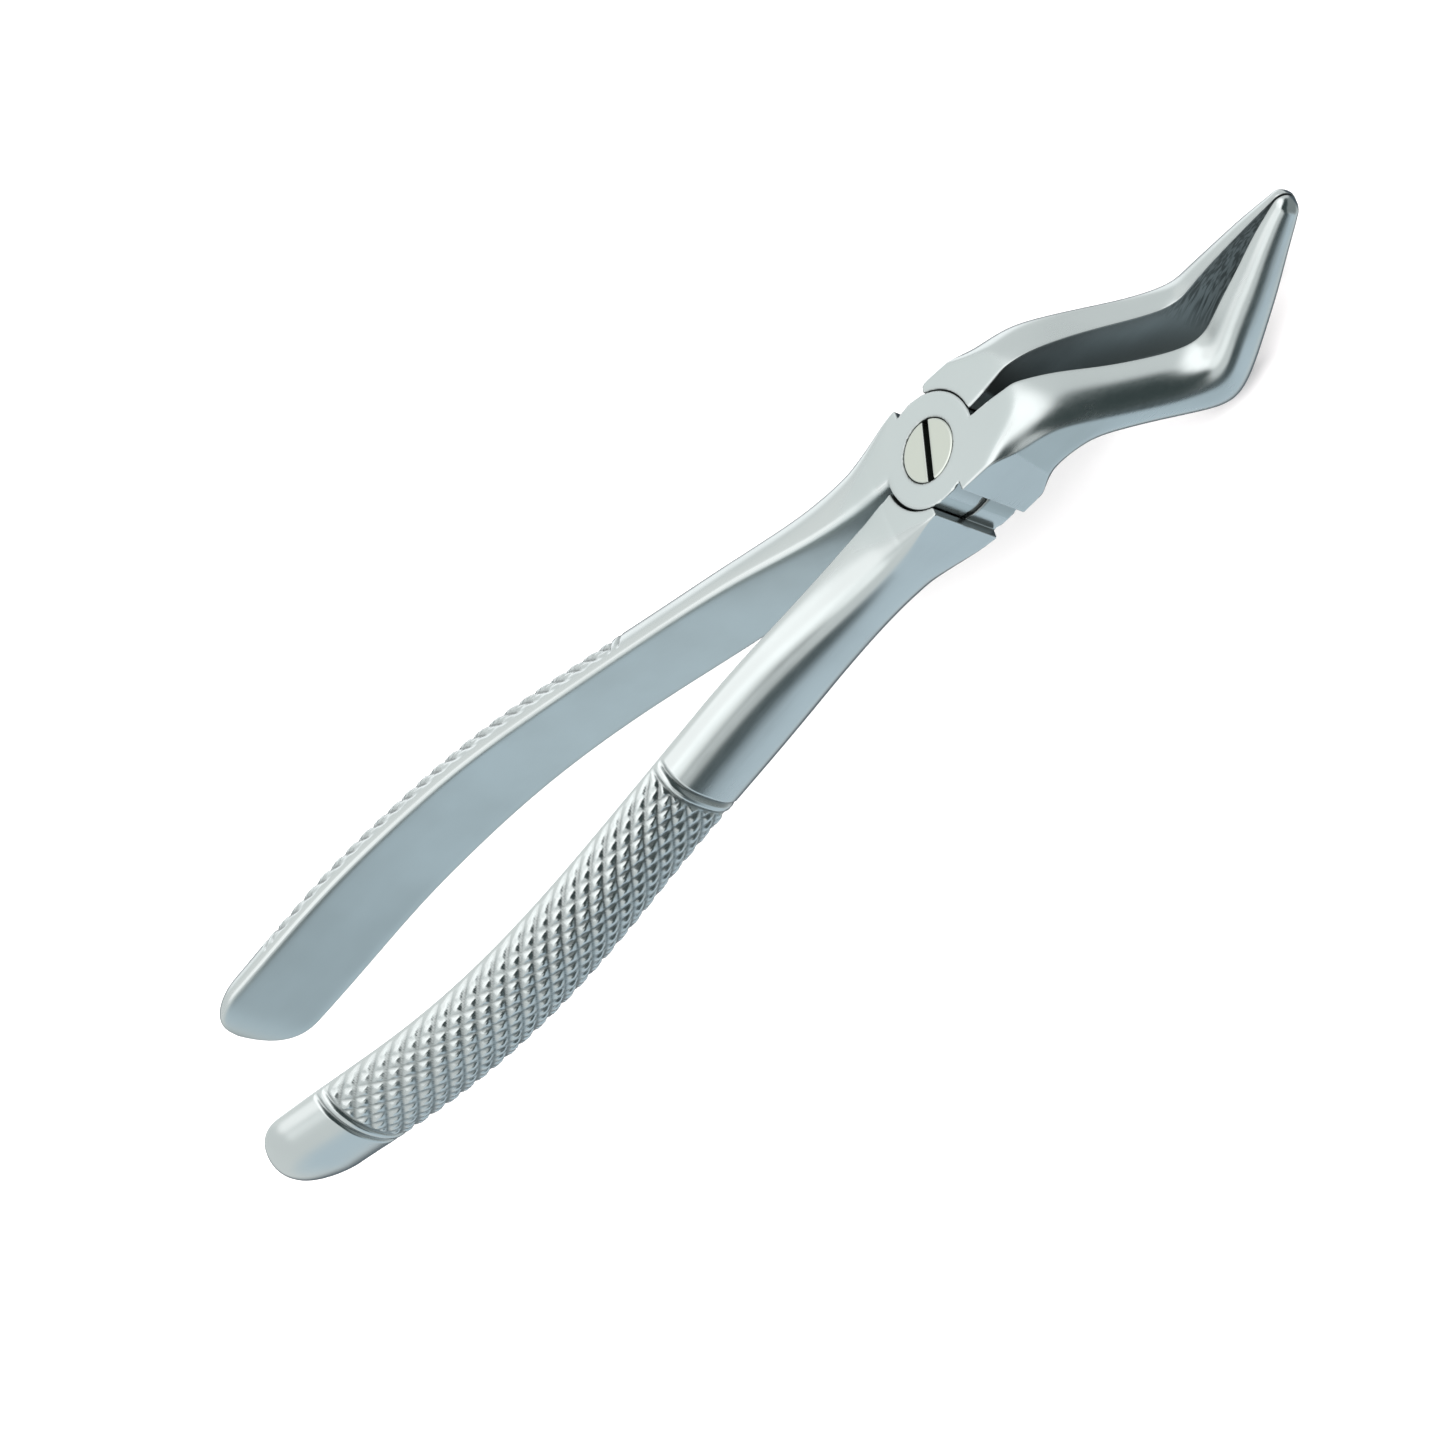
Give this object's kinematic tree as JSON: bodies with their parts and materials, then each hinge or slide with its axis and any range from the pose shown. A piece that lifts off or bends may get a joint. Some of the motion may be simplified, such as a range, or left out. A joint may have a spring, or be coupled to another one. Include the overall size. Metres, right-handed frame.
{
  "type": "extraction forceps",
  "caption": "Hinged dental forceps with bayonet root beaks, a slotted pivot screw, bowed handles and a diamond-pattern grip.",
  "frame": {"origin": "on the pivot axis, at the rear face of the joint, where the screw's end is flush", "axes": "+Z along the pivot axis towards the slotted screw head, +X towards the beak tips, +Y towards the handle of the half that carries the screw head"},
  "size_m": [0.1801, 0.0366, 0.0277],
  "materials": {
    "front_half_steel": "satin, polished on the rounded surfaces",
    "rear_half_steel": "satin, polished on the rounded surfaces",
    "screw_steel": "fine circular brushing"
  },
  "bodies": {
    "front_half": {"front_half": "front_half_steel"},
    "rear_half": {"rear_half": "rear_half_steel", "pivot_screw": "screw_steel"}
  },
  "joints": [
    {"name": "pivot", "type": "hinge", "parent": "front_half", "child": "rear_half", "pos_m": [0, 0, 0.00525], "axis": [0, 0, 1], "range_deg": [0, 29]}
  ]
}
